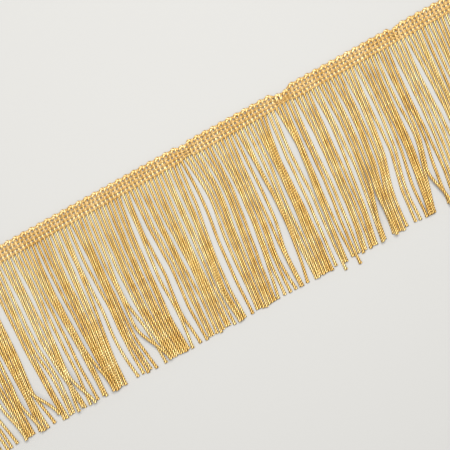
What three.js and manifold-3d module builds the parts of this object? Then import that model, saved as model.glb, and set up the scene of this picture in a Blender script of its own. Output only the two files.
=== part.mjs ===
// Fringe trim, lying flat: a crocheted heading with a row of small cord loops along its top edge,
// and below it two cut strands for each loop, hanging to one cut line.
// Millimetres. +X runs along the trim, -Y down the strands, +Z up from the surface it lies on.
// The origin is on the heading's flat back, half way along it and half way across its four stitch rows.
import * as THREE from "three";
import { mergeVertices } from "three/addons/utils/BufferGeometryUtils.js";
import Module from "manifold-3d";

const wasm = await Module();
wasm.setup();

// Driving dimensions
const LOOPS = 71;
const LOOP_PITCH = 4.95;
const STRANDS_PER_LOOP = 2;
const TRIM_WIDTH = 101;
const ROW_SPACING = 2.35;
const STITCH_ROWS = 4;
const LOWER_MARGIN = 0.9;
const UPPER_MARGIN = 0.6;
const LOOP_RISE = 0.9;
const STRAND_WIDTH = 1.5;
const STRAND_TOP_WIDTH = 0.8;
const STRAND_HEIGHT = 1.5;
const PIECE_GAP = 0.3;

const STRANDS = LOOPS * STRANDS_PER_LOOP;
const STRAND_PITCH = LOOP_PITCH / STRANDS_PER_LOOP;
const LENGTH = LOOPS * LOOP_PITCH;
const HALF_ROWS = (STITCH_ROWS - 1) * ROW_SPACING / 2;
const LOWER_EDGE = -HALF_ROWS - LOWER_MARGIN;
const UPPER_EDGE = HALF_ROWS + UPPER_MARGIN;
const CUT_LINE = UPPER_EDGE + LOOP_RISE - TRIM_WIDTH;

// Outline of a loop over its four columns of points, as shares of its rise
const LOOP_PROFILE = [0, 0.75, 1, 0.75];

// Heights of the heading's face above its back
const ROW_HEIGHT = 2.2;
const ROW_HEIGHT_BETWEEN_CORDS = 1.8;
const CORD_HEIGHT = 1.6;
const PIT_HEIGHT = 1.0;
const LOWER_EDGE_HEIGHT = 1.1;
const UPPER_EDGE_HEIGHT = 1.2;

// Strip that the strands' roots are fused into
const STRIP_WIDTH = 1.2;
const STRIP_HEIGHT = 1.75;
const ROOT = LOWER_EDGE - PIECE_GAP - STRIP_WIDTH / 2;

// How the strands lie: side by side where they have the room, while those closer than PILE_START begin to
// climb on their neighbours, and at PILE_FULL they are a whole layer up. A stray climbs over STRAY_RISE
// of its length.
const STRAND_STEPS = 8;
const LEAST_CLEARANCE = 0.25;
const PILE_START = 1.85;
const PILE_FULL = 1.6;
const STRAY_RISE = 16;
const LIFT = STRAND_HEIGHT + LEAST_CLEARANCE;
const SAME_LAYER = STRAND_WIDTH + LEAST_CLEARANCE;
const SIDE_BY_SIDE = 1.8;
const SETTLE_PASSES = 200;

// Places where the heading was drawn in: centre, half length, drop of its top edge, rise of its lower edge.
// The full drop is reached at DRAW_EASE of the way from an end to the centre.
const DRAW_EASE = 0.6;
const DRAWN_IN = [
  { x: 61.5, half: 6.5, drop: 1.9, rise: 1.3 },
  { x: 0.5, half: 4.5, drop: 0.8, rise: 1.2 },
  { x: 132.5, half: 3.0, drop: 1.2, rise: 0.3 },
];

// Heights at which the partings between strands are given, from the roots to the cut line
const LEVELS = [LOWER_EDGE, -28, -54, -76, CUT_LINE];

// Partings in the fringe. place: number of the gap between two roots, counted from the middle.
// x and width of the parting at the four lower levels.
const PARTINGS = [
  { place: -66, x: [-165.0, -166.5, -167.0, -165.8], width: [0.5, 1.0, 1.0, 2.2] },
  { place: -64, x: [-160.0, -161.5, -162.0, -159.3], width: [0.5, 0.6, 0.8, 3.2] },
  { place: -62, x: [-154.5, -155.0, -154.2, -154.3], width: [0.8, 1.0, 1.0, 3.4] },
  { place: -57, x: [-142.0, -143.3, -143.7, -144.8], width: [1.0, 1.8, 2.2, 1.0] },
  { place: -52, x: [-130.8, -132.0, -133.0, -131.5], width: [4.0, 4.4, 6.5, 4.0] },
  { place: -48, x: [-119.6, -120.9, -119.3, -119.3], width: [2.2, 1.8, 2.4, 5.0] },
  { place: -45, x: [-112.1, -114.0, -115.5, -113.8], width: [2.4, 0.2, 0.2, 0.4] },
  { place: -43, x: [-107.2, -108.3, -109.3, -110.4], width: [0.6, 1.6, 1.0, 2.2] },
  { place: -42, x: [-104.4, -104.4, -104.8, -104.6], width: [0.4, 1.8, 2.6, 1.6] },
  { place: -39, x: [-98.3, -98.7, -98.6, -98.8], width: [1.9, 2.0, 1.6, 3.8] },
  { place: -33, x: [-83.6, -86.4, -89.0, -91.0], width: [2.2, 0.8, 0.3, 0.3] },
  { place: -32, x: [-81.6, -83.4, -86.3, -86.0], width: [0.1, 1.9, 4.0, 6.5] },
  { place: -30, x: [-75.5, -76.5, -78.0, -77.3], width: [2.0, 0.3, 0.3, 1.2] },
  { place: -27, x: [-69.2, -70.6, -71.6, -69.2], width: [1.0, 1.5, 1.4, 1.6] },
  { place: -25, x: [-64.0, -65.8, -64.5, -63.2], width: [1.0, 2.7, 0.6, 1.8] },
  { place: -17, x: [-44.8, -47.6, -48.3, -49.4], width: [2.8, 1.7, 3.8, 0.6] },
  { place: -16, x: [-42.3, -43.8, -45.3, -45.4], width: [0.2, 2.0, 0.1, 3.4] },
  { place: -14, x: [-36.0, -36.0, -37.6, -38.0], width: [0.7, 1.0, 1.6, 0.6] },
  { place: -11, x: [-28.6, -29.1, -30.0, -31.5], width: [1.4, 2.0, 0.6, 0.8] },
  { place: -7, x: [-19.1, -21.4, -22.8, -23.5], width: [1.7, 1.6, 0.4, 0.3] },
  { place: -6, x: [-17.0, -18.8, -20.5, -19.0], width: [0.4, 1.0, 0.6, 1.6] },
  { place: -3, x: [-9.7, -13.3, -16.3, -16.5], width: [1.2, 0.2, 0.2, 0.2] },
  { place: -2, x: [-6.2, -10.3, -11.8, -12.4], width: [2.3, 3.2, 2.8, 2.2] },
  { place: -1, x: [-1.9, -5.4, -7.3, -8.4], width: [2.7, 2.0, 2.4, 1.6] },
  { place: 6, x: [14.8, 11.9, 8.2, 5.0], width: [1.6, 2.6, 2.2, 0.5] },
  { place: 10, x: [23.0, 21.2, 18.6, 18.8], width: [0.5, 0.9, 2.8, 2.0] },
  { place: 12, x: [29.3, 28.4, 25.0, 22.6], width: [2.2, 3.7, 4.8, 2.1] },
  { place: 14, x: [33.6, 32.0, 31.0, 30.5], width: [1.6, 0.1, 0.1, 0.1] },
  { place: 16, x: [39.2, 36.7, 35.0, 33.5], width: [1.1, 2.2, 0.6, 0.4] },
  { place: 20, x: [45.9, 44.4, 42.5, 40.5], width: [2.5, 1.8, 0.5, 0.4] },
  { place: 21, x: [49.3, 48.3, 46.0, 44.0], width: [1.0, 1.6, 0.4, 0.3] },
  { place: 22, x: [53.8, 51.3, 49.5, 48.5], width: [4.2, 1.2, 0.2, 0.3] },
  { place: 24, x: [57.3, 54.5, 52.1, 50.2], width: [0.2, 0.1, 1.4, 4.2] },
  { place: 27, x: [65.5, 63.7, 61.4, 58.0], width: [3.0, 1.9, 2.0, 0.6] },
  { place: 31, x: [75.6, 73.0, 70.5, 66.5], width: [2.6, 1.3, 0.3, 0.2] },
  { place: 33, x: [81.2, 79.3, 75.5, 72.0], width: [1.8, 0.9, 0.4, 0.1] },
  { place: 41, x: [99.8, 97.2, 91.7, 89.6], width: [0.5, 2.8, 4.0, 4.0] },
  { place: 44, x: [108.1, 106.4, 102.6, 100.0], width: [0.4, 1.2, 2.3, 0.3] },
  { place: 47, x: [114.3, 113.0, 108.5, 104.0], width: [1.2, 2.5, 0.3, 0.3] },
  { place: 49, x: [119.8, 118.2, 113.0, 108.5], width: [0.2, 1.2, 3.8, 8.0] },
  { place: 51, x: [124.7, 123.3, 121.3, 118.0], width: [2.4, 1.9, 0.8, 0.6] },
  { place: 53, x: [129.9, 128.9, 126.5, 124.0], width: [0.6, 1.3, 1.0, 0.8] },
  { place: 57, x: [140.8, 139.5, 137.5, 135.0], width: [0.8, 0.8, 0.8, 0.8] },
  { place: 59, x: [143.8, 142.5, 141.0, 139.0], width: [1.6, 1.0, 1.0, 1.0] },
  { place: 61, x: [149.7, 148.0, 146.5, 144.5], width: [1.2, 1.0, 1.0, 1.0] },
  { place: 65, x: [158.5, 157.0, 155.5, 153.5], width: [1.5, 1.0, 1.0, 1.0] },
];

// Between two partings the strands cling together in twos and threes: at the four lower levels each is
// moved by a wave over the strands' numbers, whose phase goes on by CLING_TURN at each strand and by
// CLING_SHIFT at each level. A strand leaves the heading ROOT_LEAN times as steeply as a straight line
// to the first level.
const CLING = [0.75, 0.9, 1.0, 1.0];
const CLING_TURN = 2.3;
const CLING_SHIFT = 1.1;
const ROOT_LEAN = 1.3;

// Strands that leave their lane and lie over their neighbours, and strands cut long or short.
// place: number of the strand; from: height where it leaves; shift: how far it has moved at its end;
// extra: length beyond the cut line.
const STRAYS = [
  { place: -54, from: -70, shift: 8.0, extra: -4.0 },
  { place: -46, from: -74, shift: -4.5, extra: 0.0 },
  { place: -40, from: -68, shift: 4.5, extra: 0.0 },
  { place: 48, from: -72, shift: 9.0, extra: 0.5 },
  { place: 21, from: CUT_LINE, shift: 0.0, extra: 3.5 },
  { place: 25, from: CUT_LINE, shift: 0.0, extra: 5.0 },
];

const range = (count) => Array.from({ length: count }, (_, i) => i);
const places = range(STRANDS).map((i) => i - STRANDS / 2);
const rootOf = (place) => STRAND_PITCH * (place + 0.5);
const strayOf = (place) => STRAYS.find((row) => row.place === place);

// Moves strands that are a number of steps apart away from each other, half each, to a least room.
function spreadOut(xs, step, leastAt) {
  const push = range(xs.length - step).map((i) => Math.max(0, leastAt(i) - (xs[i + step] - xs[i])) / 2);
  push.forEach((amount, i) => {
    xs[i] -= amount;
    xs[i + step] += amount;
  });
}

// Lays strands side by side between the fixed ones, where each gap has the given room, and then
// moves all until strands in one layer are clear of each other.
function settle(xs, fixed, roomAt) {
  const heldAt = fixed.map((i) => xs[i]);
  for (let pass = 0; pass < SETTLE_PASSES; pass += 1) {
    spreadOut(xs, 1, roomAt);
    fixed.forEach((i, j) => { xs[i] = heldAt[j]; });
  }
  for (let pass = 0; pass < SETTLE_PASSES; pass += 1) {
    spreadOut(xs, 1, () => SAME_LAYER / 2);
    spreadOut(xs, 2, () => SAME_LAYER);
  }
  return xs;
}

// Strand centres at one lower level: the strands beside a parting stand half its width away,
// and those between two partings take their drift from both, evenly, and cling together.
function centresAt(level) {
  const drifts = new Map();
  for (const row of PARTINGS) {
    const side = (row.width[level] + STRAND_WIDTH) / 2;
    for (const [place, x] of [[row.place - 1, row.x[level] - side], [row.place, row.x[level] + side]]) {
      const drift = x - rootOf(place);
      drifts.set(place, drifts.has(place) ? (drifts.get(place) + drift) / 2 : drift);
    }
  }
  const known = [...drifts.keys()].sort((a, b) => a - b);
  const driftOf = (place) => {
    const after = known.find((other) => other >= place) ?? known.at(-1);
    const before = known.findLast((other) => other <= place) ?? known[0];
    const share = after > before ? (place - before) / (after - before) : 0;
    return THREE.MathUtils.lerp(drifts.get(before), drifts.get(after), share);
  };
  const cling = (place) => (
    drifts.has(place) ? 0 : CLING[level] * Math.sin(CLING_TURN * place + CLING_SHIFT * level));
  const even = places.map((place) => rootOf(place) + driftOf(place));
  const roomAt = (i) => Math.min(even[i + 1] - even[i], SIDE_BY_SIDE);
  const fixed = known.map((place) => places.indexOf(place));
  return settle(even.map((x, i) => x + cling(places[i])), fixed, roomAt);
}

const levelCentres = [places.map(rootOf), ...range(LEVELS.length - 1).map(centresAt)];

// Smooth curve through the five levels: a cubic between each two, with the slope of its neighbours.
function slopeAt(level, index) {
  const last = Math.max(level - 1, 0);
  const next = Math.min(level + 1, LEVELS.length - 1);
  const rise = levelCentres[next][index] - levelCentres[last][index];
  return (level ? 1 : ROOT_LEAN) * rise / (LEVELS[next] - LEVELS[last]);
}

function laneAt(index, y) {
  const i = THREE.MathUtils.clamp(LEVELS.findIndex((level) => level <= y) - 1, 0, LEVELS.length - 2);
  const from = y <= CUT_LINE ? LEVELS.length - 2 : i;
  const span = LEVELS[from + 1] - LEVELS[from];
  const t = Math.min((y - LEVELS[from]) / span, 1);
  const t2 = t * t;
  const t3 = t2 * t;
  return (2 * t3 - 3 * t2 + 1) * levelCentres[from][index]
    + (t3 - 2 * t2 + t) * span * slopeAt(from, index)
    + (3 * t2 - 2 * t3) * levelCentres[from + 1][index]
    + (t3 - t2) * span * slopeAt(from + 1, index);
}

// Every second strand of a crowded stretch lies on top of the two beside it.
function pileLift(index, y) {
  if (index % 2 === 0) return 0;
  const roomBefore = laneAt(index, y) - laneAt(index - 1, y);
  const roomAfter = index + 1 < STRANDS ? laneAt(index + 1, y) - laneAt(index, y) : roomBefore;
  const room = Math.min(roomBefore, roomAfter);
  return LIFT * THREE.MathUtils.clamp((PILE_START - room) / (PILE_START - PILE_FULL), 0, 1);
}

// Centre and lift of one strand at a height, strays included: a stray is up before it moves sideways.
function strandAt(index, y, tip) {
  const stray = strayOf(places[index]);
  const lane = laneAt(index, y);
  const lift = pileLift(index, y);
  if (!stray?.shift) return { x: lane, z: lift };
  const along = THREE.MathUtils.smoothstep((stray.from - y) / (stray.from - tip), 0, 1);
  const risen = THREE.MathUtils.clamp((stray.from + STRAY_RISE - y) / STRAY_RISE, 0, 1);
  return { x: lane + stray.shift * along, z: Math.max(lift, 2 * LIFT * risen) };
}

function toSolid(geometry) {
  const bare = geometry.clone();
  bare.deleteAttribute("normal");
  bare.deleteAttribute("uv");
  const merged = mergeVertices(bare);
  return new wasm.Manifold(new wasm.Mesh({
    numProp: 3,
    vertProperties: new Float32Array(merged.attributes.position.array),
    triVerts: new Uint32Array(merged.index.array),
  }));
}

function toGeometry(solid) {
  const mesh = solid.getMesh();
  const geometry = new THREE.BufferGeometry();
  geometry.setAttribute("position", new THREE.BufferAttribute(mesh.vertProperties, mesh.numProp));
  geometry.setIndex(new THREE.BufferAttribute(mesh.triVerts, 1));
  geometry.computeVertexNormals();
  return geometry;
}

// One strand: a four-sided bar with a flat underside, bent along its lane step by step.
function strandSolid(index) {
  const stray = strayOf(places[index]);
  const tip = CUT_LINE - (stray?.extra ?? 0);
  const bar = new THREE.BoxGeometry(1, 1, 1, 1, stray?.shift ? 2 * STRAND_STEPS : STRAND_STEPS, 1);
  const position = bar.attributes.position;
  for (let i = 0; i < position.count; i += 1) {
    const y = THREE.MathUtils.lerp(tip, ROOT, position.getY(i) + 0.5);
    const upper = position.getZ(i) > 0;
    const { x, z } = strandAt(index, y, tip);
    const width = upper ? STRAND_TOP_WIDTH : STRAND_WIDTH;
    position.setXYZ(i, x + position.getX(i) * width, y, z + (upper ? STRAND_HEIGHT : 0));
  }
  return toSolid(bar);
}

function fringeGeometry() {
  const strip = new THREE.BoxGeometry(LENGTH, STRIP_WIDTH, STRIP_HEIGHT);
  strip.translate(0, ROOT, STRIP_HEIGHT / 2);
  return toGeometry(wasm.Manifold.union([toSolid(strip), ...range(STRANDS).map(strandSolid)]));
}

// Share of a drawn-in place's full depth at x: 1 at its centre, falling smoothly to 0 at its ends.
function drawnIn(x, column) {
  return DRAWN_IN.reduce((sum, row) => {
    const share = Math.max(0, 1 - Math.abs(x - row.x) / row.half);
    return sum + row[column] * THREE.MathUtils.smoothstep(share, 0, DRAW_EASE);
  }, 0);
}

// The heading's rows of points, from its lower edge to its top edge. level: place across the band;
// onCord and offCord: height of the face on a cord and between two cords.
const HEADING_ROWS = [
  { level: LOWER_EDGE, onCord: LOWER_EDGE_HEIGHT, offCord: LOWER_EDGE_HEIGHT },
  ...range(2 * STITCH_ROWS - 1).map((i) => ({
    level: -HALF_ROWS + i * ROW_SPACING / 2,
    onCord: i % 2 ? CORD_HEIGHT : ROW_HEIGHT,
    offCord: i % 2 ? PIT_HEIGHT : ROW_HEIGHT_BETWEEN_CORDS,
  })),
  { level: UPPER_EDGE, onCord: UPPER_EDGE_HEIGHT, offCord: UPPER_EDGE_HEIGHT },
];

// A point of the heading's face. Even columns lie between cords, odd ones on a cord;
// every fourth column is a dip between two loops, and the one half way between is a loop's top.
function headingPoint(column, row) {
  const x = -LENGTH / 2 + column * LOOP_PITCH / LOOP_PROFILE.length;
  const { level, onCord, offCord } = HEADING_ROWS[row];
  const low = LOWER_EDGE + drawnIn(x, "rise");
  const high = UPPER_EDGE - drawnIn(x, "drop");
  const share = (level - LOWER_EDGE) / (UPPER_EDGE - LOWER_EDGE);
  const loop = row === HEADING_ROWS.length - 1 ? LOOP_PROFILE[column % LOOP_PROFILE.length] : 0;
  const z = column % 2 ? onCord : offCord;
  return [x, THREE.MathUtils.lerp(low, high, share) + LOOP_RISE * loop, z];
}

// Closed band: the face, a flat back on the surface, and upright edges between them.
function headingGeometry() {
  const columns = LOOPS * LOOP_PROFILE.length + 1;
  const rows = HEADING_ROWS.length;
  const points = [];
  const faces = [];
  const quad = (a, b, c, d) => faces.push(a, b, c, a, c, d);
  for (const column of range(columns)) {
    for (const row of range(rows)) points.push(headingPoint(column, row));
  }
  const face = (column, row) => column * rows + row;
  const backStart = points.length;
  for (const column of range(columns)) {
    for (const row of [0, rows - 1]) {
      const [x, y] = headingPoint(column, row);
      points.push([x, y, 0]);
    }
  }
  const back = (column, side) => backStart + column * 2 + side;
  for (const column of range(columns - 1)) {
    for (const row of range(rows - 1)) {
      quad(face(column, row), face(column + 1, row), face(column + 1, row + 1), face(column, row + 1));
    }
    quad(back(column, 0), back(column, 1), back(column + 1, 1), back(column + 1, 0));
    quad(back(column, 0), back(column + 1, 0), face(column + 1, 0), face(column, 0));
    quad(back(column, 1), face(column, rows - 1), face(column + 1, rows - 1), back(column + 1, 1));
  }
  // The two cut ends are fans from the back's lower corner
  const last = columns - 1;
  for (const row of range(rows - 1)) {
    faces.push(back(0, 0), face(0, row), face(0, row + 1));
    faces.push(back(last, 0), face(last, row + 1), face(last, row));
  }
  faces.push(back(0, 0), face(0, rows - 1), back(0, 1));
  faces.push(back(last, 0), back(last, 1), face(last, rows - 1));
  const geometry = new THREE.BufferGeometry();
  geometry.setAttribute("position", new THREE.Float32BufferAttribute(points.flat(), 3));
  geometry.setIndex(faces);
  geometry.computeVertexNormals();
  return geometry;
}

const headingYarn = new THREE.MeshStandardMaterial({ color: 0xd8b070, roughness: 0.5, metalness: 0.6 });
const fringeCord = new THREE.MeshStandardMaterial({ color: 0xd8b060, roughness: 0.45, metalness: 0.6 });

const heading = new THREE.Mesh(headingGeometry(), headingYarn);
heading.name = "heading";

const fringe = new THREE.Mesh(fringeGeometry(), fringeCord);
fringe.name = "fringe";

const trim = new THREE.Group();
trim.name = "fringe_trim";
trim.add(heading, fringe);

export default trim;
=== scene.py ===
"""Looks of a gold fringe trim, lying flat: a crocheted heading over cords, and cut strands.

Shapes are worked out in millimetres, in the solids' own frame: +X runs along the trim, -Y down the
strands and +Z up from the surface that it lies on. A mesh turns them to metres when it is made.
"""
import math

import bpy
import numpy as np
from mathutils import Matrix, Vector


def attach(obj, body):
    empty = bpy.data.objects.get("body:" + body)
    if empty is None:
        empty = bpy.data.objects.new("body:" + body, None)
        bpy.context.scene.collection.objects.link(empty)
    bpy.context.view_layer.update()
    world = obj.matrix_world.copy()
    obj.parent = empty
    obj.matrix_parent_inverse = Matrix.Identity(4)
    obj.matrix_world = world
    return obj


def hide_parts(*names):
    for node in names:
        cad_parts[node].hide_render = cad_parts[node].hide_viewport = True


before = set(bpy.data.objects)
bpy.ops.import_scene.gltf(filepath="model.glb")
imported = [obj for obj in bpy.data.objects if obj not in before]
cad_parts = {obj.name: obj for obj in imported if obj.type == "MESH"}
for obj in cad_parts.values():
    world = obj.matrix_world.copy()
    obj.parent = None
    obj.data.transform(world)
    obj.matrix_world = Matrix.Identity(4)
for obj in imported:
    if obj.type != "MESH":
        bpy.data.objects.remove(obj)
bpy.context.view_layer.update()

MM = 0.001
UP = np.array([0.0, 0.0, 1.0])

# Driving dimensions, as in the solids
LOOPS = 71
LOOP_PITCH = 4.95
STRANDS = 2 * LOOPS
STRAND_PITCH = LOOP_PITCH / 2
TRIM_WIDTH = 101.0
STITCH_ROWS = 4
ROW_SPACING = 2.35
LOWER_MARGIN = 0.9
UPPER_MARGIN = 0.6
LOOP_RISE = 0.9
HALF_ROWS = (STITCH_ROWS - 1) * ROW_SPACING / 2
LOWER_EDGE = -HALF_ROWS - LOWER_MARGIN
UPPER_EDGE = HALF_ROWS + UPPER_MARGIN
CUT_LINE = UPPER_EDGE + LOOP_RISE - TRIM_WIDTH

# Cord: three plies twisted together. A ply shows on top once in each lay length. An outline is the
# share of the radius at three points for each ply, the first in the groove beside it, which is
# shallower where the stitches press the plies together.
CORD_DIAMETER = 1.75
CORD_PLIES = 3
LAY_LENGTH = 1.5
CORD_STEP = 0.45
CORD_OUTLINE = np.tile([0.68, 1.0, 1.0], CORD_PLIES)
FOLD_OUTLINE = np.tile([0.85, 1.0, 1.0], CORD_PLIES)
CORD_TURN = -2 * math.pi / (CORD_PLIES * LAY_LENGTH)

# A strand ends up to END_UNEVENNESS off its line and spreads a little there. It wanders off its
# lane in waves of these lengths, and the wander grows over WANDER_DEPTH below the heading.
END_UNEVENNESS = 0.7
TIP_SPREAD = 0.26
TIP_LENGTH = 2.5
WANDER = 0.07
WAVE_LENGTHS = (14.0, 26.0)
WANDER_DEPTH = 20.0

# Where the cords run inside the heading: strands and folds meet at CORD_JOIN, in the lowest row.
# The stitches press them flat and wide, over HOLD_LENGTH below its edge, and they rise where they
# fold over the top row, from LOOP_START up. Heights are those of a centreline, and widths and
# flatness are shares of a diameter.
CORD_JOIN = -HALF_ROWS
HELD_HEIGHT = 1.05
HELD_FLATNESS = 0.76
HELD_WIDTH = 1.06
HOLD_LENGTH = 4.0
LOOP_START = 1.9
LOOP_LENGTH = 1.3
LOOP_HEIGHT = 1.6
LOOP_WIDTH = 1.05
FOLD_RADIUS = STRAND_PITCH / 2
FOLD_CENTRE = UPPER_EDGE + LOOP_RISE - LOOP_WIDTH * CORD_DIAMETER / 2 - FOLD_RADIUS
FOLD_ARC_POINTS = 11

# One fold lies over the stitches: its number from the middle, where it starts up, and its height
LONG_LOOP = 12
LONG_LOOP_START = -1.2
LONG_LOOP_HEIGHT = 2.9

# Width of a parting's neighbours, least room between strands in one layer, and the room that those
# side by side take where they have it. They are moved apart in SETTLE_PASSES.
STRAND_WIDTH = 1.5
SAME_LAYER = 1.75
SIDE_BY_SIDE = 1.8
SETTLE_PASSES = 200

# A stray strand climbs by STRAY_HEIGHT over STRAY_RISE of its length. How far a strand lies over
# its neighbours is a mean over LIFT_STEPS along it, because a cord doesn't bend sharply.
STRAY_HEIGHT = 2.9
STRAY_RISE = 16.0
LIFT_STEPS = np.array([-4.0, -2.0, 0.0, 2.0, 4.0])

# Places where the heading was drawn in. x: the middle of one; half: half its length; drop: how far
# the top edge comes down; rise: how far the lower edge goes up. Both are full at DRAW_EASE of the
# way to the middle, and below the heading the pull fades out over DRAW_FADE.
DRAW_EASE = 0.6
DRAW_FADE = 8.0
DRAWN_IN = np.array([
    (61.5, 6.5, 1.9, 1.3),
    (0.5, 4.5, 0.8, 1.2),
    (132.5, 3.0, 1.2, 0.3),
], dtype=[("x", float), ("half", float), ("drop", float), ("rise", float)])

# Heights at which the partings between strands are given, from the roots to the cut line
LEVELS = np.array([LOWER_EDGE, -28.0, -54.0, -76.0, CUT_LINE])
LOWER_LEVELS = len(LEVELS) - 1

# Partings in the fringe. place: number of the gap between two roots, counted from the middle.
# x and width of the parting at the four lower levels.
PARTINGS = np.array([
    (-66, (-165.0, -166.5, -167.0, -165.8), (0.5, 1.0, 1.0, 2.2)),
    (-64, (-160.0, -161.5, -162.0, -159.3), (0.5, 0.6, 0.8, 3.2)),
    (-62, (-154.5, -155.0, -154.2, -154.3), (0.8, 1.0, 1.0, 3.4)),
    (-57, (-142.0, -143.3, -143.7, -144.8), (1.0, 1.8, 2.2, 1.0)),
    (-52, (-130.8, -132.0, -133.0, -131.5), (4.0, 4.4, 6.5, 4.0)),
    (-48, (-119.6, -120.9, -119.3, -119.3), (2.2, 1.8, 2.4, 5.0)),
    (-45, (-112.1, -114.0, -115.5, -113.8), (2.4, 0.2, 0.2, 0.4)),
    (-43, (-107.2, -108.3, -109.3, -110.4), (0.6, 1.6, 1.0, 2.2)),
    (-42, (-104.4, -104.4, -104.8, -104.6), (0.4, 1.8, 2.6, 1.6)),
    (-39, (-98.3, -98.7, -98.6, -98.8), (1.9, 2.0, 1.6, 3.8)),
    (-33, (-83.6, -86.4, -89.0, -91.0), (2.2, 0.8, 0.3, 0.3)),
    (-32, (-81.6, -83.4, -86.3, -86.0), (0.1, 1.9, 4.0, 6.5)),
    (-30, (-75.5, -76.5, -78.0, -77.3), (2.0, 0.3, 0.3, 1.2)),
    (-27, (-69.2, -70.6, -71.6, -69.2), (1.0, 1.5, 1.4, 1.6)),
    (-25, (-64.0, -65.8, -64.5, -63.2), (1.0, 2.7, 0.6, 1.8)),
    (-17, (-44.8, -47.6, -48.3, -49.4), (2.8, 1.7, 3.8, 0.6)),
    (-16, (-42.3, -43.8, -45.3, -45.4), (0.2, 2.0, 0.1, 3.4)),
    (-14, (-36.0, -36.0, -37.6, -38.0), (0.7, 1.0, 1.6, 0.6)),
    (-11, (-28.6, -29.1, -30.0, -31.5), (1.4, 2.0, 0.6, 0.8)),
    (-7, (-19.1, -21.4, -22.8, -23.5), (1.7, 1.6, 0.4, 0.3)),
    (-6, (-17.0, -18.8, -20.5, -19.0), (0.4, 1.0, 0.6, 1.6)),
    (-3, (-9.7, -13.3, -16.3, -16.5), (1.2, 0.2, 0.2, 0.2)),
    (-2, (-6.2, -10.3, -11.8, -12.4), (2.3, 3.2, 2.8, 2.2)),
    (-1, (-1.9, -5.4, -7.3, -8.4), (2.7, 2.0, 2.4, 1.6)),
    (6, (14.8, 11.9, 8.2, 5.0), (1.6, 2.6, 2.2, 0.5)),
    (10, (23.0, 21.2, 18.6, 18.8), (0.5, 0.9, 2.8, 2.0)),
    (12, (29.3, 28.4, 25.0, 22.6), (2.2, 3.7, 4.8, 2.1)),
    (14, (33.6, 32.0, 31.0, 30.5), (1.6, 0.1, 0.1, 0.1)),
    (16, (39.2, 36.7, 35.0, 33.5), (1.1, 2.2, 0.6, 0.4)),
    (20, (45.9, 44.4, 42.5, 40.5), (2.5, 1.8, 0.5, 0.4)),
    (21, (49.3, 48.3, 46.0, 44.0), (1.0, 1.6, 0.4, 0.3)),
    (22, (53.8, 51.3, 49.5, 48.5), (4.2, 1.2, 0.2, 0.3)),
    (24, (57.3, 54.5, 52.1, 50.2), (0.2, 0.1, 1.4, 4.2)),
    (27, (65.5, 63.7, 61.4, 58.0), (3.0, 1.9, 2.0, 0.6)),
    (31, (75.6, 73.0, 70.5, 66.5), (2.6, 1.3, 0.3, 0.2)),
    (33, (81.2, 79.3, 75.5, 72.0), (1.8, 0.9, 0.4, 0.1)),
    (41, (99.8, 97.2, 91.7, 89.6), (0.5, 2.8, 4.0, 4.0)),
    (44, (108.1, 106.4, 102.6, 100.0), (0.4, 1.2, 2.3, 0.3)),
    (47, (114.3, 113.0, 108.5, 104.0), (1.2, 2.5, 0.3, 0.3)),
    (49, (119.8, 118.2, 113.0, 108.5), (0.2, 1.2, 3.8, 8.0)),
    (51, (124.7, 123.3, 121.3, 118.0), (2.4, 1.9, 0.8, 0.6)),
    (53, (129.9, 128.9, 126.5, 124.0), (0.6, 1.3, 1.0, 0.8)),
    (57, (140.8, 139.5, 137.5, 135.0), (0.8, 0.8, 0.8, 0.8)),
    (59, (143.8, 142.5, 141.0, 139.0), (1.6, 1.0, 1.0, 1.0)),
    (61, (149.7, 148.0, 146.5, 144.5), (1.2, 1.0, 1.0, 1.0)),
    (65, (158.5, 157.0, 155.5, 153.5), (1.5, 1.0, 1.0, 1.0)),
], dtype=[("place", int), ("x", float, LOWER_LEVELS), ("width", float, LOWER_LEVELS)])

# Between two partings the strands cling together in twos and threes: at the four lower levels each
# is moved by a wave over the strands' numbers, whose phase goes on by CLING_TURN at each strand and
# by CLING_SHIFT at each level. A strand leaves the heading ROOT_LEAN times as steeply as a straight
# line to the first level.
CLING = [0.75, 0.9, 1.0, 1.0]
CLING_TURN = 2.3
CLING_SHIFT = 1.1
ROOT_LEAN = 1.3

# Strands that leave their lane and lie over their neighbours, and strands cut long or short.
# place: number of the strand; start: height where it leaves; shift: how far it has moved at its
# end; extra: length beyond the cut line.
STRAYS = np.array([
    (-63, -72.0, 4.6, 0.0),
    (-58, -76.0, 4.1, 0.0),
    (-54, -70.0, 8.0, -4.0),
    (-46, -74.0, -4.5, 0.0),
    (-45, -77.0, 4.0, 0.0),
    (-40, -68.0, 4.5, 0.0),
    (-27, -68.0, 6.5, 0.0),
    (34, -62.0, -3.2, 0.0),
    (35, -66.0, 2.8, 0.0),
    (48, -72.0, 9.0, 0.5),
    (21, CUT_LINE, 0.0, 3.5),
    (25, CUT_LINE, 0.0, 5.0),
], dtype=[("place", int), ("start", float), ("shift", float), ("extra", float)])

# One chain stitch as its yarn runs: x from the middle of the cord that it crosses, y from the
# middle of its row, z above the back, and the yarn's radius, fullest over the cord. One leg comes
# up inside the stitch before, crosses over the cord and goes down to the head, half way to the next
# cord. The other runs back beside it, and the yarn goes on beneath the cord to the next stitch.
LEG = np.array([
    (-1.36, 0.14, 0.60, 0.34),
    (-1.30, 0.30, 1.10, 0.36),
    (-1.02, 0.36, 1.40, 0.38),
    (-0.55, 0.28, 1.76, 0.42),
    (-0.05, 0.21, 2.06, 0.50),
    (0.40, 0.20, 2.18, 0.56),
    (0.85, 0.26, 1.86, 0.52),
    (1.16, 0.34, 1.30, 0.42),
    (1.38, 0.20, 1.00, 0.36),
])
BENEATH = np.array([(-0.90, -0.05, 0.40, 0.32), (0.00, 0.00, 0.36, 0.32), (0.80, 0.05, 0.40, 0.32)])
STITCH = np.concatenate([LEG, LEG[::-1] * (1, -1, 1, 1), BENEATH])
STITCH_UNEVENNESS = 0.04

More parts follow.
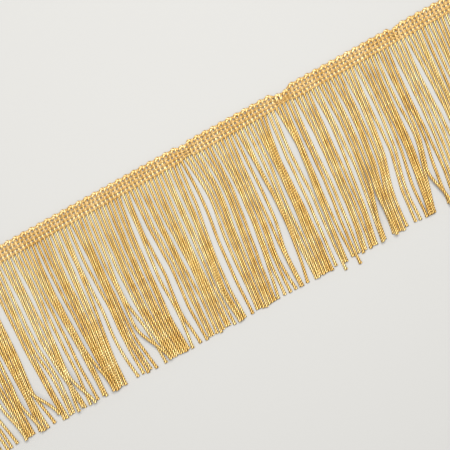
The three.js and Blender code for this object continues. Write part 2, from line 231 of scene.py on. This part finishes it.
# The smooth curve through a stitch's points has this many points for each of them
STITCH_SMOOTHING = 2

# The top row lies beneath the folds of the cords and is pressed down by them, but stands up in a
# bead between each two loops, from TROUGH_START away from a loop's middle
TOP_ROW_FLATNESS = 0.55
TROUGH_START = 1.7
TROUGH_LENGTH = 0.6
TROUGH_RISE = 0.9

# The stitching yarn: two plies twisted together
YARN_PLIES = 2
YARN_LAY_LENGTH = 0.9
YARN_OUTLINE = np.tile([0.84, 1.0, 1.0], YARN_PLIES)
YARN_TURN = -2 * math.pi / (YARN_PLIES * YARN_LAY_LENGTH)

# Patterns of the yarn's looks: the width of a filament, seen as a streak FILAMENT_STRETCH times as
# long, and the sizes of a glint and of a patch of one tone
FILAMENT_WIDTH = 0.18
FILAMENT_STRETCH = 10
GLINT_SIZE = 0.5
PATCH_SIZE = 6

# A yarn's tone is its shade with weighted filaments and patches, and the stops are the tones at
# which its three colours stand. CROWN_START is the share of a ply's width over which the dark
# groove colour, painted shade between the plies, goes over into them.
FILAMENT_TONE = 0.9
PATCH_TONE = 0.5
TONE_STOPS = (0.45, 0.7, 0.95)
CROWN_START = 0.46

# Relief: the weight of the filaments beside the glints, and the height of the whole. Glints within
# GLINT_RANGE change a yarn's roughness by GLINT_ROUGHNESS.
FILAMENT_RELIEF = 1.8
RELIEF_STRENGTH = 0.8
RELIEF_HEIGHT = 0.12
GLINT_RANGE = (0.3, 0.7)
GLINT_ROUGHNESS = (-0.08, 0.1)
METALLIC = 0.45

# Darkest and lightest of the shades that cords are given, and the stitches' shade
STRAND_SHADES = (-0.08, 0.12)
FOLD_SHADES = (0.0, 0.12)
STITCH_SHADE = 0.08

# The strands are made as this many pieces along the trim
STRAND_GROUPS = 4

# What the photograph shows: the middle of the view, its width, and how steeply the trim rises in
# it, seen with a long lens
VIEW_CENTRE = (0.0, -46.0)
VIEW_WIDTH = 247.3
TRIM_RISE = 29.14
LENS = 100.0
SENSOR_WIDTH = 36.0

# The floor's reach to each side, in metres, and the soft light that comes from all round
FLOOR_REACH = 2.0
SKY_GREY = 0.5
SKY_STRENGTH = 0.95

SEED = 29
random = np.random.default_rng(SEED)


def smooth_step(t):
    """Rises from 0 to 1 with level ends: three t squared less two t cubed."""
    t = np.clip(t, 0, 1)
    return t * t * (3 - 2 * t)


def root_of(place):
    """Where a strand leaves the heading."""
    return STRAND_PITCH * (place + 0.5)


def spread_out(xs, step, least):
    """Moves strands that are a number of steps apart away from each other, half each, until they
    have the least room."""
    push = np.maximum(0, least - (xs[step:] - xs[:-step])) / 2
    xs[:-step] -= push
    xs[step:] += push


def settle(xs, fixed, room):
    """Lays strands side by side between the fixed ones, where each gap has the given room, and then
    moves all until strands in one layer are clear of each other."""
    held_at = xs[fixed]
    for _ in range(SETTLE_PASSES):
        spread_out(xs, 1, room)
        xs[fixed] = held_at
    for _ in range(SETTLE_PASSES):
        spread_out(xs, 1, SAME_LAYER / 2)
        spread_out(xs, 2, SAME_LAYER)
    return xs


def centres_at(level):
    """Strand centres at one lower level: the strands beside a parting stand half its width away,
    and those between two partings take their drift from both, evenly, and cling together."""
    side = (PARTINGS["width"][:, level] + STRAND_WIDTH) / 2
    places = np.concatenate([PARTINGS["place"] - 1, PARTINGS["place"]])
    x = np.concatenate([PARTINGS["x"][:, level] - side, PARTINGS["x"][:, level] + side])
    known, which = np.unique(places, return_inverse=True)
    drift = np.bincount(which, x - root_of(places)) / np.bincount(which)
    fixed = np.isin(PLACES, known)
    cling = CLING[level] * np.sin(CLING_TURN * PLACES + CLING_SHIFT * level)
    even = root_of(PLACES) + np.interp(PLACES, known, drift)
    room = np.minimum(np.diff(even), SIDE_BY_SIDE)
    return settle(even + np.where(fixed, 0, cling), fixed, room)


PLACES = np.arange(STRANDS) - STRANDS // 2
CENTRES = np.array([root_of(PLACES)] + [centres_at(level) for level in range(LOWER_LEVELS)])
NEXT_LEVEL = np.minimum(np.arange(len(LEVELS)) + 1, LOWER_LEVELS)
LAST_LEVEL = np.maximum(np.arange(len(LEVELS)) - 1, 0)
LEVEL_SPANS = (LEVELS[NEXT_LEVEL] - LEVELS[LAST_LEVEL])[:, None]
SLOPES = (CENTRES[NEXT_LEVEL] - CENTRES[LAST_LEVEL]) / LEVEL_SPANS
SLOPES[0] = ROOT_LEAN * (CENTRES[1] - CENTRES[0]) / (LEVELS[1] - LEVELS[0])


def lane(index, y):
    """Centre of a strand at a height: a cubic between each two levels, with their slopes."""
    i = np.clip(np.searchsorted(-LEVELS, -y, side="right") - 1, 0, LOWER_LEVELS - 1)
    span = LEVELS[i + 1] - LEVELS[i]
    t = np.clip((y - LEVELS[i]) / span, 0, 1)
    return ((2 * t**3 - 3 * t**2 + 1) * CENTRES[i, index]
            + (t**3 - 2 * t**2 + t) * span * SLOPES[i, index]
            + (3 * t**2 - 2 * t**3) * CENTRES[i + 1, index]
            + (t**3 - t**2) * span * SLOPES[i + 1, index])


def pile_lift(index, y):
    """Every second strand lies on the two beside it where they leave it too little room: it rises
    by the side of the right triangle whose slant side is a diameter and whose base is the room."""
    left, right = np.maximum(index - 1, 0), np.minimum(index + 1, STRANDS - 1)
    room_before = lane(index, y) - lane(left, y)
    room_after = np.where(index < STRANDS - 1, lane(right, y) - lane(index, y), room_before)
    lift = np.sqrt(np.maximum(CORD_DIAMETER**2 - np.minimum(room_before, room_after)**2, 0))
    return np.where(index % 2 == 1, lift, 0)


def drawn_in(x, y):
    """Height across the trim after the heading was drawn in: its edges move by the table, the loops
    go with the top edge, and what lies between moves in proportion. Below it the pull fades out."""
    share = np.maximum(0, 1 - np.abs(x[..., None] - DRAWN_IN["x"]) / DRAWN_IN["half"])
    depth = smooth_step(share / DRAW_EASE)
    rise, drop = depth @ DRAWN_IN["rise"], depth @ DRAWN_IN["drop"]
    across = np.clip((y - LOWER_EDGE) / (FOLD_CENTRE - FOLD_RADIUS - LOWER_EDGE), 0, 1)
    fade = smooth_step(1 - (LOWER_EDGE - y) / DRAW_FADE)
    return y + np.where(y < LOWER_EDGE, rise * fade, rise * (1 - across) - drop * across)


def held(y):
    """How far the heading holds a cord: 0 below it, rising to 1 at its lower edge."""
    return smooth_step((y - LOWER_EDGE + HOLD_LENGTH) / HOLD_LENGTH)


def looped(y, start=LOOP_START):
    """How far a cord has come into its loop: 0 below the start, rising to 1 over LOOP_LENGTH."""
    return smooth_step((y - start) / LOOP_LENGTH)


def sweep(path, outline, turn, half_width, half_height, reference):
    """Closed tubes along the rows of path. Round each point stands a ring: its point at angle a
    lies half_width * outline * cos(a + turn) to the side, and half_height * outline * sin(a + turn)
    along the direction that is square to both the path and its side. The side is square to the
    path and to the reference direction. Gives vertices, faces and a UV map: share of the way
    round, and length along the path in millimetres."""
    tubes, rings = path.shape[:2]
    sides = len(outline)
    along = np.gradient(path, axis=1)
    along /= np.linalg.norm(along, axis=2, keepdims=True)
    side = np.cross(along, reference)
    side /= np.linalg.norm(side, axis=2, keepdims=True)
    over = np.cross(side, along)
    angle = np.arange(sides) * 2 * math.pi / sides + turn[..., None]
    across = (half_width[..., None] * outline * np.cos(angle))[..., None] * side[:, :, None]
    upward = (half_height[..., None] * outline * np.sin(angle))[..., None] * over[:, :, None]
    points = path[:, :, None] + across + upward

    tube, ring, j = np.meshgrid(
        np.arange(tubes), np.arange(rings - 1), np.arange(sides), indexing="ij")
    first = (tube * rings + ring) * sides
    after = (j + 1) % sides
    quads = np.stack([first + j, first + after, first + sides + after, first + sides + j], -1)
    start = (np.arange(tubes) * rings * sides)[:, None]
    lower_caps = start + np.arange(sides)[::-1]
    upper_caps = start + (rings - 1) * sides + np.arange(sides)

    length = np.zeros((tubes, rings))
    length[:, 1:] = np.cumsum(np.linalg.norm(np.diff(path, axis=1), axis=2), axis=1)
    u = np.stack([j, j + 1, j + 1, j], -1) / sides
    v = np.stack([length[tube, ring]] * 2 + [length[tube, ring + 1]] * 2, -1)
    cap_u = np.tile(np.arange(sides) / sides, (2 * tubes, 1))
    cap_v = np.repeat(np.concatenate([length[:, 0], length[:, -1]]), sides).reshape(-1, sides)
    return {
        "points": points.reshape(-1, 3),
        "quads": quads.reshape(-1, 4),
        "caps": np.concatenate([lower_caps, upper_caps]),
        "uv": np.concatenate([
            np.stack([u, v], -1).reshape(-1, 2),
            np.stack([cap_u, cap_v], -1).reshape(-1, 2),
        ]),
    }


def add_piece(name, shape, shade, material, node):
    """Makes a mesh object from a swept shape, in metres, that stands for a CAD node."""
    mesh = bpy.data.meshes.new(name)
    points, quads, caps = shape["points"] * MM, shape["quads"], shape["caps"]
    mesh.vertices.add(len(points))
    mesh.vertices.foreach_set("co", points.astype(np.float32).ravel())
    mesh.loops.add(quads.size + caps.size)
    mesh.loops.foreach_set("vertex_index", np.concatenate([quads.ravel(), caps.ravel()]))
    starts = np.concatenate([
        np.arange(len(quads)) * 4,
        quads.size + np.arange(len(caps)) * caps.shape[1],
    ])
    mesh.polygons.add(len(starts))
    mesh.polygons.foreach_set("loop_start", starts)
    mesh.update(calc_edges=True)
    mesh.polygons.foreach_set("use_smooth", np.ones(len(starts), bool))
    uv_map = mesh.uv_layers.new(name="yarn")
    uv_map.data.foreach_set("uv", shape["uv"].astype(np.float32).ravel())
    shades = np.repeat(shade, len(points) // len(shade))
    tone = mesh.attributes.new("shade", "FLOAT", "POINT")
    tone.data.foreach_set("value", shades.astype(np.float32))
    mesh.validate()
    mesh.materials.append(material)
    piece = bpy.data.objects.new(name, mesh)
    bpy.context.scene.collection.objects.link(piece)
    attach(piece, "root")
    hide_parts(node)


def linear(hex_colour):
    """An sRGB hex value as linear red, green, blue and full alpha: shares up to 0.04045 are divided
    by 12.92, and to others 0.055 is added, the sum divided by 1.055 and taken to the power 2.4."""
    srgb = np.array([int(hex_colour[i:i + 2], 16) for i in (1, 3, 5)]) / 255
    return (*np.where(srgb <= 0.04045, srgb / 12.92, ((srgb + 0.055) / 1.055) ** 2.4), 1.0)


def add_node(tree, kind, inputs=None, **settings):
    """Adds a node with its settings. An input, given by name or number, is linked where its value
    is another node's output, and otherwise set. Gives the node."""
    node = tree.nodes.new(kind)
    for key, value in settings.items():
        setattr(node, key, value)
    for key, value in (inputs or {}).items():
        if isinstance(value, bpy.types.NodeSocket):
            tree.links.new(value, node.inputs[key])
        else:
            node.inputs[key].default_value = value
    return node


def yarn_material(name, colours, groove_shade, plies, roughness):
    """Metallised polyester yarn: lacquered, aluminium coated film, slit and wound round a core. It
    gives the eye a warm metal glint broken up by the filaments, with deep gold between. The hollow
    between two plies is given a darker colour, as painted shade.
    Of a colour mix, inputs 0, 6 and 7 are the share and the two colours, and output 2 the mix."""
    material = bpy.data.materials.new(name)
    material.use_nodes = True
    tree = material.node_tree
    tree.nodes.clear()
    uv = add_node(tree, "ShaderNodeUVMap", uv_map="yarn").outputs["UV"]
    parts = add_node(tree, "ShaderNodeSeparateXYZ", {"Vector": uv})
    place = add_node(tree, "ShaderNodeTexCoord").outputs["Object"]

    # Share of the way across a ply: 0 in the groove between two plies, where painted shade goes, 1
    # on its crown
    turns = add_node(
        tree, "ShaderNodeMath", {0: parts.outputs["X"], 1: plies}, operation="MULTIPLY")
    ply = add_node(tree, "ShaderNodeMath", {0: turns.outputs[0], 1: 0.5}, operation="PINGPONG")
    crown = add_node(
        tree, "ShaderNodeMapRange", {"Value": ply.outputs[0], "From Max": CROWN_START},
        interpolation_type="SMOOTHSTEP")

    # Filaments are streaks along the cord; glints and patches are the same size every way
    across_scale = math.pi * CORD_DIAMETER / FILAMENT_WIDTH
    along_scale = 1 / (FILAMENT_STRETCH * FILAMENT_WIDTH)
    streaks = add_node(tree, "ShaderNodeMapping", {
        "Vector": uv, "Scale": (across_scale, along_scale, 1.0)})
    filament = add_node(tree, "ShaderNodeTexNoise", {
        "Vector": streaks.outputs["Vector"], "Scale": 1.0, "Detail": 2.0, "Roughness": 0.6})
    patch = add_node(tree, "ShaderNodeTexNoise", {
        "Vector": place, "Scale": 1 / (PATCH_SIZE * MM), "Detail": 3.0})
    glint = add_node(tree, "ShaderNodeTexNoise", {
        "Vector": place, "Scale": 1 / (GLINT_SIZE * MM), "Detail": 1.0})

    shade = add_node(tree, "ShaderNodeAttribute", attribute_name="shade").outputs["Fac"]
    cord_tone = add_node(
        tree, "ShaderNodeMath", {0: filament.outputs["Fac"], 1: FILAMENT_TONE, 2: shade},
        operation="MULTIPLY_ADD")
    tone = add_node(
        tree, "ShaderNodeMath", {0: patch.outputs["Fac"], 1: PATCH_TONE, 2: cord_tone.outputs[0]},
        operation="MULTIPLY_ADD")
    ramp = add_node(tree, "ShaderNodeValToRGB", {"Fac": tone.outputs[0]})
    stops = ramp.color_ramp.elements
    stops.new(TONE_STOPS[1])
    for stop, position, colour in zip(stops, TONE_STOPS, colours):
        stop.position, stop.color = position, linear(colour)
    # Painted shade: the groove between two plies takes the darker groove colour, which gives way to
    # the ply's own colours towards its crown
    colour = add_node(tree, "ShaderNodeMix", {
        0: crown.outputs[0], 6: linear(groove_shade), 7: ramp.outputs["Color"]}, data_type="RGBA")

    relief = add_node(
        tree, "ShaderNodeMath",
        {0: filament.outputs["Fac"], 1: FILAMENT_RELIEF, 2: glint.outputs["Fac"]},
        operation="MULTIPLY_ADD")
    bump = add_node(tree, "ShaderNodeBump", {
        "Height": relief.outputs[0], "Strength": RELIEF_STRENGTH, "Distance": RELIEF_HEIGHT * MM})
    rough = add_node(tree, "ShaderNodeMapRange", {
        "Value": glint.outputs["Fac"], "From Min": GLINT_RANGE[0], "From Max": GLINT_RANGE[1],
        "To Min": roughness + GLINT_ROUGHNESS[0], "To Max": roughness + GLINT_ROUGHNESS[1]})
    shader = add_node(tree, "ShaderNodeBsdfPrincipled", {
        "Base Color": colour.outputs[2], "Roughness": rough.outputs[0], "Metallic": METALLIC,
        "Normal": bump.outputs["Normal"]})
    add_node(tree, "ShaderNodeOutputMaterial", {"Surface": shader.outputs["BSDF"]})
    return material


# The folds are the strands' own cord and the stitches the same gold yarn. Their creamier colours
# and much lighter grooves are painted light, for the dense heading that faces up and catches more
# light than the strands.
CORD_MATERIAL = yarn_material(
    "metallised_yarn_cord_painted_groove_shade", colours=("#ca9a42", "#f1c971", "#ffedae"), groove_shade="#52300a",
    plies=CORD_PLIES, roughness=0.36)
FOLD_MATERIAL = yarn_material(
    "metallised_yarn_fold_painted_light_and_shade", colours=("#c8a156", "#e6c47e", "#fae6b2"), groove_shade="#9b6e30",
    plies=CORD_PLIES, roughness=0.38)
STITCH_MATERIAL = yarn_material(
    "metallised_yarn_stitch_painted_light_and_shade", colours=("#bb9348", "#dbb66d", "#f3dca4"), groove_shade="#a57b39",
    plies=YARN_PLIES, roughness=0.42)


def cord_sizes(y):
    """Half width and half height of a cord: round below the heading, flat and wide inside it, and
    as flat but a little less wide in its loop."""
    wider = (HELD_WIDTH - 1) * held(y) + (LOOP_WIDTH - HELD_WIDTH) * looped(y)
    flatter = (HELD_FLATNESS - 1) * held(y)
    return CORD_DIAMETER / 2 * (1 + wider), CORD_DIAMETER / 2 * (1 + flatter)


def strand_paths():
    """Centrelines of the strands, from inside the heading's lowest row to their tips, and their
    half widths and half heights. A strand follows its lane with a slight wander, lies on the
    surface or on the strands beside it, and a stray one climbs and then moves sideways."""
    index = np.arange(STRANDS)[:, None]
    extra, shift = np.zeros((STRANDS, 1)), np.zeros((STRANDS, 1))
    start = np.full((STRANDS, 1), CUT_LINE)
    stray = STRAYS["place"] + STRANDS // 2
    for column, field in ((extra, "extra"), (shift, "shift"), (start, "start")):
        column[stray, 0] = STRAYS[field]
    tip = CUT_LINE - extra + random.uniform(-END_UNEVENNESS, END_UNEVENNESS, (STRANDS, 1))
    rings = int((CORD_JOIN - CUT_LINE) / CORD_STEP)
    y = CORD_JOIN + (tip - CORD_JOIN) * np.linspace(0, 1, rings)
    depth = np.clip((LOWER_EDGE - y) / WANDER_DEPTH, 0, 1)
    waves = random.uniform(*WAVE_LENGTHS, (STRANDS, 1))
    phase = random.uniform(0, 2 * math.pi, (STRANDS, 1))
    wander = WANDER * np.sin(2 * math.pi * y / waves + phase) * depth
    along = smooth_step((start - y) / np.maximum(start - tip, 1))
    x = lane(index, y) + wander + shift * along
    lift = np.mean([pile_lift(index, y + step) for step in LIFT_STEPS], axis=0)
    risen = smooth_step((start + STRAY_RISE - y) / STRAY_RISE) * (shift != 0)
    lift = np.maximum(lift, STRAY_HEIGHT * risen)
    spread = 1 + TIP_SPREAD * smooth_step(1 - (y - tip) / TIP_LENGTH)
    resting = CORD_DIAMETER / 2 * spread + lift
    z = resting + (HELD_HEIGHT - resting) * held(y)
    half_width, half_height = cord_sizes(y)
    return np.stack([x, drawn_in(x, y), z], -1), half_width * spread, half_height * spread


def fold_paths():
    """Centrelines of the cord folds, and their half widths and half heights: up from the lowest
    row, half way round a circle at the top edge, and down again, one for each loop. The long one
    rises early and lies over the stitches."""
    leg = np.arange(CORD_JOIN, FOLD_CENTRE, CORD_STEP)
    arc = np.linspace(math.pi, 0, FOLD_ARC_POINTS)
    across = np.full(len(leg), FOLD_RADIUS)
    x = np.concatenate([-across, FOLD_RADIUS * np.cos(arc), across])
    y = np.concatenate([leg, FOLD_CENTRE + FOLD_RADIUS * np.sin(arc), leg[::-1]])
    x = x + (np.arange(LOOPS)[:, None] - LOOPS // 2) * LOOP_PITCH
    y = y + np.zeros_like(x)
    z = HELD_HEIGHT + (LOOP_HEIGHT - HELD_HEIGHT) * looped(y)
    over = LOOPS // 2 + LONG_LOOP
    z[over] = HELD_HEIGHT + (LONG_LOOP_HEIGHT - HELD_HEIGHT) * looped(y[over], LONG_LOOP_START)
    return np.stack([x, drawn_in(x, y), z], -1), *cord_sizes(y)


def lengths_along(path):
    """Length along each path at each of its points."""
    steps = np.linalg.norm(np.diff(path, axis=1), axis=2)
    return np.concatenate([np.zeros((len(path), 1)), np.cumsum(steps, axis=1)], axis=1)


def add_strands():
    """The cut strands, in groups along the trim."""
    path, half_width, half_height = strand_paths()
    run = lengths_along(path)
    shades = random.uniform(*STRAND_SHADES, STRANDS)
    groups = np.array_split(np.arange(STRANDS), STRAND_GROUPS)
    for number, group in enumerate(groups, start=1):
        shape = sweep(path[group], CORD_OUTLINE, CORD_TURN * run[group],
                      half_width[group], half_height[group], UP)
        name = f"fringe_strands_{number}"
        add_piece(name, shape, shades[group], CORD_MATERIAL, "fringe")


def add_folds():
    """The cords inside the heading, folded over at the top edge."""
    path, half_width, half_height = fold_paths()
    run = lengths_along(path)
    shape = sweep(path, FOLD_OUTLINE, CORD_TURN * run, half_width, half_height, UP)
    shades = random.uniform(*FOLD_SHADES, LOOPS)
    add_piece("cord_folds", shape, shades, FOLD_MATERIAL, "heading")


def stitch_row_path(row):
    """Centreline and radius of one row of chain stitch: the stitch's points, repeated for each cord
    with a slight unevenness, joined by a smooth curve through them (Catmull-Rom), and never below
    the back."""
    points = STITCH + random.normal(0, STITCH_UNEVENNESS, (STRANDS, len(STITCH), 4))
    points[..., 0] += root_of(PLACES)[:, None]
    points[..., 1] += -HALF_ROWS + row * ROW_SPACING
    if row == STITCH_ROWS - 1:
        from_loop = np.abs((points[..., 0] + LOOP_PITCH / 2) % LOOP_PITCH - LOOP_PITCH / 2)
        trough = smooth_step((from_loop - TROUGH_START) / TROUGH_LENGTH)
        points[..., 2] = points[..., 2] * TOP_ROW_FLATNESS + TROUGH_RISE * trough
    points = points.reshape(-1, 4)
    before, after, last = points[:-3], points[2:-1], points[3:]
    here = points[1:-2]
    t = (np.arange(STITCH_SMOOTHING) / STITCH_SMOOTHING)[None, :, None]
    curve = 0.5 * (2 * here[:, None] + (after - before)[:, None] * t
                   + (2 * before - 5 * here + 4 * after - last)[:, None] * t**2
                   + (3 * here - before - 3 * after + last)[:, None] * t**3)
    x, y, z, radius = curve.reshape(-1, 4).T
    return np.stack([x, drawn_in(x, y), np.maximum(z, radius)], -1), radius


def add_stitches():
    """The rows of chain stitch that bind the cords."""
    askew = np.ones(3) / math.sqrt(3)
    for row in range(STITCH_ROWS):
        path, radius = (part[None] for part in stitch_row_path(row))
        turn = YARN_TURN * lengths_along(path)
        shape = sweep(path, YARN_OUTLINE, turn, radius, radius, askew)
        name = f"stitch_row_{row + 1}"
        shade = np.array([STITCH_SHADE])
        add_piece(name, shape, shade, STITCH_MATERIAL, "heading")


def add_camera():
    """Straight above the middle of the strands, turned so that the trim rises to the right."""
    camera = bpy.data.cameras.new("camera")
    camera.lens, camera.sensor_width = LENS, SENSOR_WIDTH
    view = bpy.data.objects.new("camera", camera)
    view.location = (*(np.array(VIEW_CENTRE) * MM), VIEW_WIDTH * MM * LENS / SENSOR_WIDTH)
    view.rotation_euler = (0, 0, -math.radians(TRIM_RISE))
    bpy.context.scene.collection.objects.link(view)
    bpy.context.scene.camera = view


def add_light(name, place, size, power):
    """A square soft box that faces the middle of the heading. Its place and size are in metres."""
    light = bpy.data.lights.new(name, "AREA")
    light.size, light.energy = size, power
    lamp = bpy.data.objects.new(name, light)
    lamp.location = place
    lamp.rotation_euler = Vector(place).to_track_quat("Z", "Y").to_euler()
    bpy.context.scene.collection.objects.link(lamp)


def add_studio():
    """A plain pale floor and soft light."""
    mesh = bpy.data.meshes.new("floor")
    near, far = -FLOOR_REACH, FLOOR_REACH
    corners = [(near, near, 0), (far, near, 0), (far, far, 0), (near, far, 0)]
    mesh.from_pydata(corners, [], [(0, 1, 2, 3)])
    paper = bpy.data.materials.new("matt_paper")
    paper.use_nodes = True
    shader = paper.node_tree.nodes["Principled BSDF"]
    shader.inputs["Base Color"].default_value = linear("#a7a6a3")
    shader.inputs["Roughness"].default_value = 0.9
    mesh.materials.append(paper)
    floor = bpy.data.objects.new("floor", mesh)
    bpy.context.scene.collection.objects.link(floor)
    add_light("key", place=(0.15, 0.15, 1.0), size=0.4, power=13.5)
    add_light("overhead", place=(-0.25, 0.0, 1.1), size=0.8, power=5.5)
    world = bpy.data.worlds.new("studio")
    world.use_nodes = True
    sky = world.node_tree.nodes["Background"].inputs
    sky["Color"].default_value = (SKY_GREY, SKY_GREY, SKY_GREY, 1)
    sky["Strength"].default_value = SKY_STRENGTH
    bpy.context.scene.world = world
    bpy.context.scene.view_settings.view_transform = "Standard"


add_camera()
add_studio()
add_folds()
add_stitches()
add_strands()
